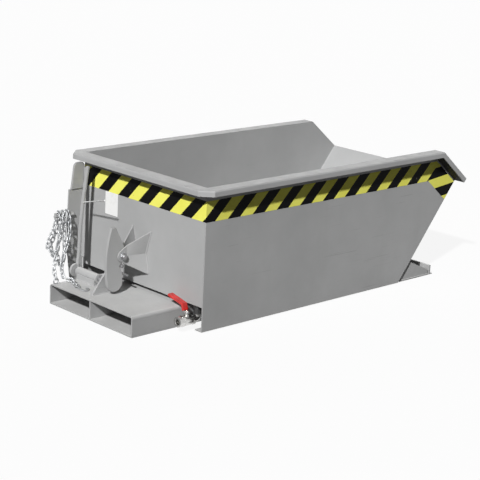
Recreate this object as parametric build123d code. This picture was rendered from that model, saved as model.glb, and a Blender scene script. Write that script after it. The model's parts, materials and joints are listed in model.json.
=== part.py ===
from build123d import *
import os
from math import atan2, ceil, cos, degrees, hypot, pi, radians, sin, tan

# Every x below counts from the outer face of the rear wall, forward being positive.
# Every y counts from the middle of the tub, the left side being positive, and z from the ground.
# save() moves each piece to the shared frame, whose origin is on the ground
# under the middle of the whole length.

# Driving sizes of the tub, in millimetres
tub_width = 760.0
tub_height = 582.0
lip_reach = 1521.0
lip_height = 446.0
knee_reach = 1353.0
slope_foot = 1163.0
floor_height = 103.0
wall = 4.0
skirt_clear = 4.0
skirt_flange = 35.0
rim_overhang = 55.0
rim_lip = 24.0
rim_chamfer = 45.0
rim_bend = 6.0

# Driving sizes of the fork box and the nose
fork_reach = 255.0
fork_box_width = 528.0
fork_box_height = 85.0
fork_wall = 6.0
fork_bend = 12.0
fork_leg = 18.0
rest_wide = 30.0
rest_inset = 140.0
rest_side = 40.0
nose_slope = 23.4
nose_length = 139.0
nose_wall = 8.0
nose_sheet = 6.0
nose_tail = 55.0
foot_wall = 4.0
bar_gap = 8.0
toe_length = 14.0

# Driving sizes of the tipping hinge
tip_angle = 65.0
pivot_ahead = 82.0
pivot_below = 56.0
crest_ahead = 19.0
hinge_pin = 12.5
bush_wall = 3.5
hinge_boss = 24.0
lug_wall = 10.0
lug_back = 96.0
lug_rise = 18.0
pin_seat = 5.0

# Driving sizes of the latch
hook_thick = 14.0
hook_back = 105.0
hook_above = 157.0
hook_bolt = 8.0
hook_rise = 121.0
hook_tip_back = 52.0
hook_tip_front = 33.0
hook_spine = 76.0
hook_spine_below = 8.0
hook_belly = 69.0
hook_belly_below = 108.0
hook_sole = 33.0
hook_sole_below = 144.0
hook_front = 22.0
hook_neck_above = 20.0
hook_neck_below = 23.0
jaw_ahead = 6.0
jaw_below = 73.0
jaw_end_below = 116.0
catch_below = 41.0
catch_radius = 8.0
catch_wall = 9.6
ear_radius = 24.0
ear_straight = 20.0
ear_wall = 6.0
ear_gap = 1.5
flare_up = 96.0
flare_down = 84.0
flare_top = 45.0
flare_low = 36.0
crease = 26.0
bolt_spare = 16.0
nut_thick = 12.0

# Driving sizes of the release
shaft_radius = 10.0
shaft_back = 112.0
shaft_above = 29.0
tube_length = 135.0
tube_wall = 9.0
tube_inset = 2.0
saddle_inset = 10.0
crank_gap = 13.0
crank_thick = 9.0
crank_boss = 7.0
push_radius = 5.0
push_boss = 4.0
push_over = 23.0
lug_gap = 6.0
lug_thick = 8.0
lug_foot_back = 106.0
lug_foot_front = 37.0
lever_wide = 16.0
lever_thick = 8.0
lever_gap = 14.0
lever_below = 10.0
hub_radius = 28.0

# Driving sizes of the post
post_inset = 36.0
post_back = 30.0
post_wall = 6.0
post_below = 6.0
post_foot = 30.0
post_step = 140.0
post_top_wide = 51.0
post_step_wide = 66.0
post_wide = 81.0
post_foot_wide = 60.0
post_ledge = 10.0
post_belly = 150.0
post_bend = 18.0
post_flange_wide = 15.0
post_sheet = 4.0
bracket_wall = 8.0
peg_below = 245.0
peg_radius = 6.0
peg_reach = 153.0
peg_root = 55.0
peg_tip = 15.0

# Driving sizes of the drain valve
valve_inset = 56.0
valve_below = 57.0
drain_ahead = 25.0
elbow_bend = 18.0
pipe_radius = 16.0
bore_radius = 11.5
stem_back = 29.0
stem_radius = 4.5
body_half = 35.0
body_wall = 5.0
hex_wall = 6.5
hex_long = 14.0
union_long = 13.0
ball_radius = 15.0
ball_flat = 2.5
neck_radius = 10.0
neck_rise = 22.0
gland_rise = 7.0
gland_radius = 8.5
handle_wide = 20.0
handle_wall = 3.0
handle_crank = 31.0
handle_reach = 101.0
grip_wall = 3.0
nut_radius = 8.0
nut_rise = 6.0

# Driving sizes of the safety chain
wire_radius = 2.6
link_half_width = 7.0
link_pitch = 21.0
eye_bar = 2.5
eye_bend = 11.0
eye_inset = 17.0
strand_pitch = 19.5
hook_hole = 5.5
hook_ring_wall = 6.0
hook_bar = 7.0
hook_shank = 40.0
hook_bow = 15.0
hook_lean = 8.0

# Clearances
fit = 0.05
slide = 1.0
stop_gap = 1.0
side_gap = 8.0
rest_gap = 0.3
link_gap = 0.15
peg_room = 11.0
ball_gap = 0.4

half = tub_width / 2
inner = half - wall
slope = atan2(lip_height, lip_reach - slope_foot)
fork_half = fork_box_width / 2
top = fork_box_height
shift = (fork_reach - lip_reach) / 2


def polygon(points):
    return make_face(Polyline(*points, close=True))


def standing(sketch, y_low, y_high):
    """Solid of a sketch drawn in X and Z, between two y values."""
    return extrude(Plane.XZ.offset(-y_high) * sketch, amount=y_high - y_low)


def lying(sketch, z_low, z_high):
    """Solid of a sketch drawn in X and Y, between two z values."""
    return extrude(Plane.XY.offset(z_low) * sketch, amount=z_high - z_low)


def across(sketch, x_low, x_high):
    """Solid of a sketch drawn in Y and Z, between two x values."""
    return extrude(Plane.YZ.offset(x_low) * sketch, amount=x_high - x_low)


def block(x_low, x_high, y_low, y_high, z_low, z_high):
    middle = Pos((x_low + x_high) / 2, (y_low + y_high) / 2, (z_low + z_high) / 2)
    return middle * Box(x_high - x_low, y_high - y_low, z_high - z_low)


def rod_y(x, z, radius, y_low, y_high):
    return Pos(x, (y_low + y_high) / 2, z) * Rot(90, 0, 0) * Cylinder(radius, y_high - y_low)


def rod_x(y, z, radius, x_low, x_high):
    return Pos((x_low + x_high) / 2, y, z) * Rot(0, 90, 0) * Cylinder(radius, x_high - x_low)


def rod_z(x, y, radius, z_low, z_high):
    return Pos(x, y, (z_low + z_high) / 2) * Cylinder(radius, z_high - z_low)


def disc(x, z, radius):
    return Pos(x, z) * Circle(radius)


def hull(circles, points):
    """Convex outline round some circles and points."""
    edges = [edge for circle in circles for edge in circle.edges()]
    if len(points) > 1:
        edges += Polyline(*points, close=len(points) > 2).edges()
    return make_hull(edges)


def right_of(points, distance):
    """A path moved to its right, with mitred corners."""
    headings = [atan2(b[1] - a[1], b[0] - a[0]) for a, b in zip(points, points[1:])]
    moved = []
    for i, point in enumerate(points):
        before = headings[max(i - 1, 0)]
        after = headings[min(i, len(headings) - 1)]
        middle = (before + after) / 2
        reach = distance / cos((after - before) / 2)
        moved.append((point[0] + reach * sin(middle), point[1] - reach * cos(middle)))
    return moved


def band(points, thickness):
    """Outline of a strip of sheet that follows a path on its right side."""
    return polygon(points + right_of(points, thickness)[::-1])


def both_sides(piece):
    return [piece, mirror(piece, about=Plane.XZ)]


def save(name, *pieces):
    solids = [solid for piece in pieces for solid in piece.solids()]
    moved = [Pos(shift, 0, 0) * solid for solid in solids]
    shape = moved[0] if len(moved) == 1 else Compound(children=moved)
    export_step(shape, os.path.join("parts", name + ".step"))


os.makedirs("parts", exist_ok=True)

# Tub walls: two side panels that run down to the ground, a rear wall, a floor and a sloped front


def edge_x(z):
    """Forward place of the sloped front edge at a height."""
    return slope_foot + z / tan(slope)


def plate_x(z):
    """Forward place of the inner face of the front plate at a height."""
    return edge_x(z) - wall / sin(slope)


rim_path = [(0, tub_height), (knee_reach, tub_height), (lip_reach, lip_height)]
side_outline = polygon([(0, skirt_clear), (edge_x(skirt_clear), skirt_clear)] + rim_path[::-1])
side_outline -= band(rim_path, wall)
side_left = standing(side_outline, inner, half)
save("side_left", side_left)
save("side_right", mirror(side_left, about=Plane.XZ))

flange_end = slope_foot - skirt_flange
flange_top = skirt_clear + wall
flange_left = block(0, flange_end, inner - skirt_flange, inner, skirt_clear, flange_top)
save("skirt_flanges", *both_sides(flange_left))

save("rear_wall", block(0, wall, -inner, inner, floor_height, tub_height))

valve_y = -(half - valve_inset)
valve_z = floor_height - valve_below
floor_top = floor_height + wall
floor_outline = polygon([
    (wall, floor_height),
    (plate_x(floor_height), floor_height),
    (plate_x(floor_top), floor_top),
    (wall, floor_top),
])
tub_floor = standing(floor_outline, -inner, inner)
tub_floor -= rod_z(drain_ahead, valve_y, bore_radius, floor_height - wall, floor_top + wall)
save("tub_floor", tub_floor)

lip_inner = (lip_reach - wall * sin(slope), lip_height + wall * cos(slope))
front_outline = polygon([
    (edge_x(floor_height), floor_height),
    (lip_reach, lip_height),
    lip_inner,
    (plate_x(floor_height), floor_height),
])
save("front_plate", standing(front_outline, -inner, inner))

# Rim: sheet folded outward and down, with cut rear corners
rim_outer = half + rim_overhang
rim_left = standing(band(rim_path, wall), inner, rim_outer)
rim_left += standing(band(rim_path, rim_lip), rim_outer - wall, rim_outer)


def rim_z(x):
    """Height of the rim's top face at a forward place."""
    drop = (tub_height - lip_height) / (lip_reach - knee_reach)
    return tub_height - max(0.0, x - knee_reach) * drop


def is_fold(edge):
    """Whether an edge is one of the rim's long outer top edges."""
    middle = edge.center()
    at_edge = abs(middle.Y - rim_outer) < fit and abs(middle.Z - rim_z(middle.X)) < fit
    return at_edge and edge.length > 2 * rim_lip


rim_left = fillet([edge for edge in rim_left.edges() if is_fold(edge)], rim_bend)
save("rim_left", rim_left)
save("rim_right", mirror(rim_left, about=Plane.XZ))

rear_section = polygon([
    (0, tub_height),
    (0, tub_height - wall),
    (wall - rim_overhang, tub_height - wall),
    (wall - rim_overhang, tub_height - rim_lip),
    (-rim_overhang, tub_height - rim_lip),
    (-rim_overhang, tub_height),
])
rim_rear = standing(rear_section, -half, half)
rear_fold = rim_rear.edges().filter_by(Axis.Y).sort_by(Axis.X)[:2].sort_by(Axis.Z)[-1]
save("rim_rear", fillet(rear_fold, rim_bend))

corner_path = [
    (0, rim_outer),
    (rim_chamfer - rim_overhang, rim_outer),
    (-rim_overhang, rim_outer - rim_chamfer),
    (-rim_overhang, half),
]
corner = lying(polygon(corner_path + [(0, half)]), tub_height - wall, tub_height)
corner += lying(band(corner_path[::-1], wall), tub_height - rim_lip, tub_height)
corner_edges = corner.faces().sort_by(Axis.Z)[-1].edges()
corner_folds = [
    edge for edge in corner_edges
    if abs(edge.center().X) > fit and edge.center().Y > half + fit
]
save("rim_corners", *both_sides(fillet(corner_folds, rim_bend)))

# Tipping hinge: lugs under the tub turn on pins that the nose holds
pivot_x = slope_foot + pivot_ahead
pivot_z = floor_height - pivot_below
plate_away = (pivot_x - slope_foot) * sin(slope) - pivot_z * cos(slope)
gusset_out = inner - side_gap
gusset_in = gusset_out - nose_wall
lug_out = gusset_in - 2 * slide
lug_in = lug_out - lug_wall
clevis_out = lug_in - lug_wall
clevis_in = clevis_out - nose_wall
bush_radius = hinge_pin + bush_wall

boss = disc(pivot_x, pivot_z, hinge_boss)
corner_point = (edge_x(floor_height), floor_height)
lug_tail = (pivot_x - lug_back, floor_height)
lug_top = floor_height + lug_rise
lug_tip = (edge_x(lug_top), lug_top)
lug_outline = hull([boss], [lug_tail, corner_point]) + hull([boss], [corner_point, lug_tip])
lug_outline -= disc(pivot_x, pivot_z, bush_radius + fit)
save("hinge_lugs", *both_sides(standing(lug_outline, lug_in, lug_out)))

bush = rod_y(pivot_x, pivot_z, bush_radius, lug_in - slide, lug_out + slide)
bush -= rod_y(pivot_x, pivot_z, hinge_pin + fit, lug_in - 2 * slide, lug_out + 2 * slide)
save("hinge_bushes", *both_sides(bush))

pin = rod_y(pivot_x, pivot_z, hinge_pin, clevis_in - 2 * slide, gusset_in + pin_seat)
save("hinge_pins", *both_sides(pin))

# Nose: a low wedge, whose crest and cross bar stop the tipped front plate
plate_tilt = radians(tip_angle) - slope


def stop_z(x):
    """Height just under the tipped front plate."""
    rise = plate_away / cos(plate_tilt) - (x - pivot_x) * tan(plate_tilt)
    return pivot_z + rise - stop_gap


crest_x = pivot_x + crest_ahead
crest_z = stop_z(crest_x)
nose_back = pivot_x - nose_tail
nose_tip = pivot_x + nose_length
slot_end = pivot_x + hypot(lug_tip[0] - pivot_x, lug_tip[1] - pivot_z) + 3 * slide
tip_z = crest_z - (nose_tip - crest_x) * tan(radians(nose_slope))

gusset_outline = polygon([
    (nose_back, foot_wall),
    (nose_tip, foot_wall),
    (nose_tip, tip_z),
    (crest_x, crest_z),
    (nose_back, crest_z - nose_wall),
])
gusset_left = standing(gusset_outline, gusset_in, gusset_out)
gusset_left -= rod_y(pivot_x, pivot_z, hinge_pin + fit, gusset_in - slide, gusset_in + pin_seat)
save("nose_gusset_left", gusset_left)
save("nose_gusset_right", mirror(gusset_left, about=Plane.XZ))

clevis_outline = hull(
    [boss],
    [(nose_back + nose_wall, foot_wall), (pivot_x + 2 * hinge_boss, foot_wall)],
)
clevis_outline -= disc(pivot_x, pivot_z, hinge_pin + fit)
save("nose_clevises", *both_sides(standing(clevis_outline, clevis_in, clevis_out)))

nose_top = standing(band([(crest_x, crest_z), (nose_tip, tip_z)], nose_sheet), -gusset_in, gusset_in)
slot = block(nose_back, slot_end, clevis_out, gusset_in, 0, tub_height)
for gap in both_sides(slot):
    nose_top -= gap
save("nose_top", nose_top)

bar_back = nose_tip + bar_gap
bar_front = bar_back + nose_wall
bar_top = stop_z(bar_front)
save("nose_front", block(bar_back, bar_front, -gusset_out, gusset_out, foot_wall, bar_top))
save("nose_floor", block(nose_back, bar_front + toe_length, -gusset_out, gusset_out, 0, foot_wall))
save("nose_back", block(nose_back, nose_back + nose_wall, -clevis_in, clevis_in, foot_wall, top))

# Fork box: two pockets side by side, from the rear face to the nose
fork_rear = -fork_reach


def folded(side, roof, bend):
    """Section of a sheet folded down at both sides, filled below."""
    outline = polygon([(-side, top - fork_leg), (-side, roof), (side, roof), (side, top - fork_leg)])
    return fillet(outline.vertices().sort_by(Axis.Y)[-2:], bend)


fork_section = folded(fork_half, top, fork_bend)
fork_section -= folded(fork_half - fork_wall, top - fork_wall, fork_bend - fork_wall)
save("fork_top", across(fork_section, fork_rear, nose_back))
side_in = fork_half - fork_wall
fork_side = block(fork_rear, nose_back, side_in, fork_half, fork_wall, top - fork_leg)
save("fork_side_left", fork_side)
save("fork_side_right", mirror(fork_side, about=Plane.XZ))
save("fork_floor", block(fork_rear, nose_back, -fork_half, fork_half, 0, fork_wall))
divider = block(fork_rear, nose_back, -fork_wall / 2, fork_wall / 2, fork_wall, top - fork_wall)
save("fork_divider", divider)

rest_half = fork_half - rest_side
rest_top = floor_height - rest_gap
rest_bars = [
    block(x - rest_wide / 2, x + rest_wide / 2, -rest_half, rest_half, top, rest_top)
    for x in (rest_inset, slope_foot - rest_inset)
]
save("rest_bars", *rest_bars)

# Latch: a swinging hook in a folded bracket on the rear wall, and the catch that it holds on to
hook_x = -hook_back
hook_z = top + hook_above
ear_in = hook_thick / 2 + ear_gap
ear_out = ear_in + ear_wall
ear_front = hook_x + ear_straight
wall_top = hook_z + flare_up
wall_low = hook_z - flare_down


def tangent_z(z, x, sign):
    """Height, at a place, of the line from the rear wall that touches the ear's round end."""
    away = hypot(hook_x, z - hook_z)
    spread = atan2(ear_radius, (away ** 2 - ear_radius ** 2) ** 0.5)
    return z + x * tan(atan2(hook_z - z, hook_x) - sign * spread)


ear_top = tangent_z(wall_top, ear_front, 1)
ear_low = tangent_z(wall_low, ear_front, -1)
ear_outline = hull([disc(hook_x, hook_z, ear_radius)], [(ear_front, ear_low), (ear_front, ear_top)])
ear_outline -= disc(hook_x, hook_z, hook_bolt + fit)
ear_section = polygon([
    (ear_in, ear_top),
    (ear_in, hook_z),
    (ear_in, ear_low),
    (ear_out, ear_low),
    (ear_out, hook_z),
    (ear_out, ear_top),
])
wall_section = polygon([
    (ear_in + flare_top, wall_top),
    (crease, hook_z),
    (ear_in + flare_low, wall_low),
    (ear_out + flare_low, wall_low),
    (crease + ear_wall, hook_z),
    (ear_out + flare_top, wall_top),
])
bracket_left = loft([Plane.YZ.offset(ear_front) * ear_section, Plane.YZ * wall_section], ruled=True)
bracket_left += standing(ear_outline, ear_in, ear_out)
save("hook_bracket_left", bracket_left)
save("hook_bracket_right", mirror(bracket_left, about=Plane.XZ))

bolt_hexagon = Pos(hook_x, hook_z) * RegularPolygon(1.75 * hook_bolt, 6)
bolt = rod_y(hook_x, hook_z, hook_bolt, -ear_out - bolt_spare, ear_out)
bolt += standing(bolt_hexagon, ear_out, ear_out + 1.25 * hook_bolt)
save("hook_bolt", bolt)
nut = standing(bolt_hexagon, -ear_out - nut_thick, -ear_out)
nut -= rod_y(hook_x, hook_z, hook_bolt + fit, -ear_out - bolt_spare, 0)
save("hook_nut", nut)

catch_x = hook_x - slide
catch_z = hook_z - catch_below
throat = catch_radius + slide


def from_hook(ahead, up):
    return (hook_x + ahead, hook_z + up)


def on_throat(angle):
    turn = radians(angle)
    return (catch_x + throat * cos(turn), catch_z + throat * sin(turn))


hook_tip = from_hook(-hook_tip_back, hook_rise)
spine = from_hook(-hook_spine, -hook_spine_below)
belly = from_hook(-hook_belly, -hook_belly_below)
sole = from_hook(-hook_sole, -hook_sole_below)
jaw_end = from_hook(jaw_ahead, -jaw_end_below)
jaw = from_hook(jaw_ahead, -jaw_below)
front_points = [
    from_hook(hook_front, -hook_neck_below),
    from_hook(hook_front, hook_neck_above),
    from_hook(-hook_tip_front, hook_rise),
]
hook_outline = make_face(
    ThreePointArc(hook_tip, spine, belly)
    + ThreePointArc(belly, sole, jaw_end)
    + Polyline(jaw_end, jaw, on_throat(215))
    + ThreePointArc(on_throat(215), on_throat(180), on_throat(90))
    + Polyline(on_throat(90), *front_points, hook_tip)
)
hook_outline -= disc(hook_x, hook_z, hook_bolt + fit)
save("latch_hook", standing(hook_outline, -hook_thick / 2, hook_thick / 2))

# Release: a shaft in a bearing tube on the fork box, with a crank beside the hook and a tall lever
shaft_x = -shaft_back
shaft_z = top + shaft_above
crank_in = hook_thick / 2 + crank_gap
crank_out = crank_in + crank_thick
lug_near = crank_out + lug_gap
lug_far = lug_near + lug_thick
catch_lug = hull(
    [disc(catch_x, catch_z, catch_radius + catch_wall)],
    [(shaft_x - lug_foot_back, top), (shaft_x + lug_foot_front, top)],
)
catch_lug -= disc(catch_x, catch_z, catch_radius + fit)
catch_lug -= disc(shaft_x, shaft_z, shaft_radius + fit)
save("catch_lug", standing(catch_lug, lug_near, lug_far))
save("catch_pin", rod_y(catch_x, catch_z, catch_radius, -hook_thick, lug_far + 2 * slide))

tube_far = fork_half - tube_inset
tube_near = tube_far - tube_length
tube_radius = shaft_radius + tube_wall
tube = rod_y(shaft_x, shaft_z, tube_radius, tube_near, tube_far)
tube -= rod_y(shaft_x, shaft_z, shaft_radius + fit, tube_near - slide, tube_far + slide)
save("bearing_tube", tube)
saddle = block(
    shaft_x - tube_radius,
    shaft_x + tube_radius,
    tube_near + saddle_inset,
    fork_half - fork_bend,
    top,
    shaft_z,
)
saddle -= rod_y(shaft_x, shaft_z, tube_radius + fit, tube_near, tube_far)
save("bearing_saddle", saddle)

lever_near = tube_far + lever_gap
lever_far = lever_near + lever_wide
save("release_shaft", rod_y(shaft_x, shaft_z, shaft_radius, crank_in, lever_far + 3 * slide))

push_x = jaw[0] + 2 * slide + push_radius
push_z = jaw[1] - push_boss
crank_ends = [
    disc(shaft_x, shaft_z, shaft_radius + crank_boss),
    disc(push_x, push_z, push_radius + push_boss),
]
crank = hull(crank_ends, [])
crank -= disc(shaft_x, shaft_z, shaft_radius + fit)
crank -= disc(push_x, push_z, push_radius + fit)
save("release_crank", standing(crank, crank_in, crank_out))
save("push_pin", rod_y(push_x, push_z, push_radius, -hook_thick / 2 - push_over, crank_out))

lever_rise = tub_height - rim_lip - lever_below - shaft_z
lever_bends = [(4, 0), (12, 0.18), (17, 0.43), (28, 0.67), (50, 1)]
lever_path = [(shaft_x + ahead, shaft_z + share * lever_rise) for ahead, share in lever_bends]
lever_arm = standing(band(lever_path, lever_thick), lever_near, lever_far)
lever_ends = lever_arm.edges().filter_by(lambda edge: edge.length < lever_thick + slide)
lever_arm = fillet(lever_ends.sort_by(Axis.Z)[-2:], (lever_wide - slide) / 2)
lever_hub = rod_y(shaft_x, shaft_z, hub_radius, lever_near + 2 * slide, lever_far - 2 * slide)
release_lever = lever_arm + lever_hub
release_lever -= rod_y(shaft_x, shaft_z, shaft_radius + fit, lever_near - slide, lever_far + slide)
save("release_lever", release_lever)

# Post at the left rear corner, which keeps the chain
post_near = half - post_inset
post_front = -post_back
post_top = tub_height - rim_lip - post_below
step_z = tub_height - post_step
peg_z = tub_height - peg_below
post_outline = polygon([
    (post_front, post_foot),
    (post_front, post_top),
    (post_front - post_top_wide, post_top),
    (post_front - post_step_wide, step_z),
    (post_front - post_step_wide - post_ledge, step_z),
    (post_front - post_wide, peg_z - peg_radius),
    (post_front - post_wide, peg_z - post_belly),
    (post_front - post_foot_wide, post_foot),
])
post_outline = fillet(post_outline.vertices().sort_by(Axis.Y)[-2:], post_bend)
save("post_web", standing(post_outline, post_near, post_near + post_wall))

flange_low = top + 2 * post_foot
flange_high = post_top - post_bend - post_sheet
post_flange = block(
    post_front - post_sheet,
    post_front,
    post_near - post_flange_wide,
    post_near,
    flange_low,
    flange_high,
)
save("post_flange", post_flange)
bracket_front = post_front - post_sheet - slide
upper_outline = polygon([
    (bracket_front, step_z),
    (bracket_front, post_top),
    (post_front - post_top_wide, post_top),
    (post_front - post_step_wide, step_z),
])
upper_outline = fillet(upper_outline.vertices().sort_by(Axis.Y)[-2:], post_bend - 2 * slide)
save("post_upper_plate", standing(upper_outline, post_near - post_sheet, post_near))
bracket_back = post_front - post_foot_wide
bracket_top = post_foot + bracket_wall
save("post_bracket", block(bracket_back, bracket_front, fork_half, post_near, post_foot, bracket_top))

peg_y = post_near - peg_radius
peg_end = post_front - peg_reach
peg = rod_x(peg_y, peg_z, peg_radius, peg_end, post_front - peg_root)
peg += rod_z(peg_end + peg_radius, peg_y, peg_radius, peg_z, peg_z + peg_tip)
save("chain_peg", peg)

# Drain valve under the right rear corner of the tub
stem_x = -stem_back
body_back = stem_x - body_half
body_front = stem_x + body_half


def drain_run(radius):
    """Round bar from the valve along X, then up to the tub floor."""
    level = rod_x(valve_y, valve_z, radius, body_front, drain_ahead - elbow_bend)
    upright = rod_z(drain_ahead, valve_y, radius, valve_z + elbow_bend, floor_height)
    turn = Axis((drain_ahead - elbow_bend, valve_y, valve_z + elbow_bend), (0, -1, 0))
    ring = Plane.YZ.offset(drain_ahead - elbow_bend) * Pos(valve_y, valve_z) * Circle(radius)
    return level + revolve(ring, turn, revolution_arc=90) + upright


save("drain_elbow", drain_run(pipe_radius) - drain_run(bore_radius))

hexagon = Pos(valve_y, valve_z) * RegularPolygon(pipe_radius + hex_wall, 6)
octagon = Pos(valve_y, valve_z) * RegularPolygon(pipe_radius + hex_wall, 8)
bore = rod_x(valve_y, valve_z, bore_radius, body_back - 2 * union_long, body_front + slide)
save("union_nut", across(octagon, body_back - union_long, body_back) - bore)

body_radius = pipe_radius + body_wall
neck_top = valve_z + neck_rise
body = rod_x(valve_y, valve_z, body_radius, body_back + hex_long, body_front - hex_long)
body += across(hexagon, body_back, body_back + hex_long)
body += across(hexagon, body_front - hex_long, body_front)
body += rod_z(stem_x, valve_y, neck_radius, valve_z, neck_top)
body -= bore
body -= Pos(stem_x, valve_y, valve_z) * Sphere(ball_radius + ball_gap)
body -= rod_z(stem_x, valve_y, stem_radius + fit, valve_z, neck_top + slide)
save("valve_body", body)

ball_top = valve_z + ball_radius - ball_flat
ball = Pos(stem_x, valve_y, valve_z) * Sphere(ball_radius)
ball -= rod_y(stem_x, valve_z, bore_radius - slide, valve_y - pipe_radius, valve_y + pipe_radius)
ball -= block(
    stem_x - ball_radius,
    stem_x + ball_radius,
    valve_y - ball_radius,
    valve_y + ball_radius,
    ball_top,
    valve_z + pipe_radius,
)
save("valve_ball", ball)

handle_z = neck_top + gland_rise
handle_top = handle_z + handle_wall
nut_top = handle_top + nut_rise
save("valve_stem", rod_z(stem_x, valve_y, stem_radius, ball_top, nut_top + slide))
gland = lying(Pos(stem_x, valve_y) * RegularPolygon(gland_radius, 6), neck_top, handle_z - slide)
gland -= rod_z(stem_x, valve_y, stem_radius + fit, neck_top - slide, handle_z)
save("valve_gland", gland)

crank_y = valve_y + nut_radius
handle_path = [
    (valve_y - nut_radius - 2 * slide, handle_top),
    (crank_y, handle_top),
    (crank_y + 0.35 * handle_crank, handle_top + handle_crank),
    (valve_y + handle_reach, handle_top + 1.55 * handle_crank),
]
handle_side = handle_wide / 2
handle = across(band(handle_path, handle_wall), stem_x - handle_side, stem_x + handle_side)
handle -= rod_z(stem_x, valve_y, stem_radius + fit, handle_z - slide, handle_top + slide)
save("valve_handle", handle)

grip_start = (crank_y + 0.07 * handle_crank, handle_top + 0.2 * handle_crank)
grip_end = (handle_path[3][0] + grip_wall, handle_path[3][1] + 0.2 * grip_wall)
grip_path = right_of([grip_start, handle_path[2], grip_end], -grip_wall)
grip_side = handle_side + grip_wall
grip_section = band(grip_path, 2 * grip_wall + handle_wall)
save("valve_grip", across(grip_section, stem_x - grip_side, stem_x + grip_side) - handle)
cap = lying(Pos(stem_x, valve_y) * RegularPolygon(nut_radius, 6), handle_top, nut_top)
save("handle_nut", cap - rod_z(stem_x, valve_y, stem_radius + fit, handle_z, nut_top + slide))

# Safety chain: an eye on the fork box, links over the peg and down to a heap, and an end hook
bar = wire_radius * cos(pi / 6)
link_end = link_pitch / 2 + bar
link_flat = tan(pi / 8) * link_half_width
quarter = [(link_end, link_flat), (link_end - link_half_width + link_flat, link_half_width)]
half_ring = quarter + [(-x, y) for x, y in quarter[::-1]]
link_ring = half_ring + [(-x, -y) for x, y in half_ring]
wire_sides = [(cos(turn), sin(turn)) for turn in (radians(30 + 60 * i) for i in range(6))]


def chain_link():
    """One link, long along X and flat in the XY plane, from six-sided bar."""
    rings = []
    for i, point in enumerate(link_ring):
        following = link_ring[(i + 1) % len(link_ring)]
        moved = right_of([link_ring[i - 1], point, following], wire_radius)[1]
        out = (moved[0] - point[0], moved[1] - point[1])
        rings.append([
            Vector(point[0] + out[0] * side, point[1] + out[1] * side, wire_radius * rise)
            for side, rise in wire_sides
        ])
    faces = []
    for ring, following in zip(rings, rings[1:] + rings[:1]):
        for k, corner in enumerate(ring):
            m = (k + 1) % len(ring)
            corners = [corner, ring[m], following[m], following[k]]
            faces.append(Face(Wire.make_polygon(corners, close=True)))
    return Solid(Shell(faces))


eye_x = fork_rear + eye_inset
eye_y = fork_half - eye_inset + slide
eye_z = top + eye_bend
eye = Pos(eye_x, eye_y, eye_z) * Rot(90, 0, 0) * Torus(eye_bend, eye_bar)
eye_room = eye_bend + 2 * eye_bar
eye -= block(eye_x - eye_room, eye_x + eye_room, eye_y - eye_room, eye_y + eye_room, 0, top)
save("chain_eye", eye)

step = link_pitch - link_gap
eye_hold = eye_bar + slide / 2
bed = top + link_half_width * sin(pi / 4) + wire_radius + 1.7
loop_y = step / 2 - wire_radius
loop_z = peg_z + peg_radius + link_half_width + bar - 2 * slide
spots = [peg_end + 2 * peg_radius + peg_room + i * strand_pitch for i in range(3)]
near_y = peg_y - loop_y
far_y = peg_y + loop_y


def spaced(line, count, before, after):
    """Joints between a line's links, closer together where it bends, and how far they are stretched."""
    lengths = [step] * count
    for _ in range(5):
        total = sum(lengths)
        joints = [line.position_at(min(1, sum(lengths[:i]) / total)) for i in range(count + 1)]
        ways = [(end - start).normalized() for start, end in zip(joints, joints[1:])]
        headings = [before or ways[0]] + ways + [after or ways[-1]]
        turns = [radians(a.get_angle(b)) for a, b in zip(headings, headings[1:])]
        slacks = [bar * (1 - cos(turn) + 0.52 * sin(turn)) for turn in turns]
        lengths = [step - near - far for near, far in zip(slacks, slacks[1:])]
    return joints, line.length / sum(lengths)


def run(points, free, way, before=None, after=None):
    """Joints along a smooth line, part of which moves until a whole number of links fits.

    Links turn a quarter from one to the next: between two places on the peg their number is odd,
    and from the eye to the peg it is even.
    """
    line = Spline(*points)
    count = ceil(line.length / step)
    remainder = 1 if before else 0
    while spaced(line, count, before, after)[1] > 1 or after and count % 2 != remainder:
        count += 1
    low, high = 0.0, 3 * link_pitch
    for _ in range(12):
        push = (low + high) / 2
        moved = list(points)
        for i in free:
            moved[i] = tuple(Vector(*points[i]) + Vector(*way) * push)
        line = Spline(*moved)
        joints, stretch = spaced(line, count, before, after)
        if stretch < 1:
            low = push
        else:
            high = push
    return joints


over_peg = Vector(0, -1, 0)


def hanging(x_from, x_to, drop, lean):
    """A loop from the near side of the peg, down under it and up to the far side."""
    middle = (x_from + x_to) / 2 + lean
    return run([
        (x_from, near_y, loop_z),
        (x_from, near_y - 11, peg_z - 12),
        (x_from + 0.1 * lean, near_y - 6, peg_z - 52),
        (middle - 6, near_y - 4, peg_z - drop + 25),
        (middle, peg_y + 15, peg_z - drop),
        (middle + 6, far_y + 34, peg_z - drop + 26),
        (x_to + 0.1 * lean, far_y + 17, peg_z - 52),
        (x_to, far_y + 11, peg_z - 12),
        (x_to, far_y, loop_z),
    ], (3, 4, 5), (0, 0, -1), over_peg, over_peg)


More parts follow.
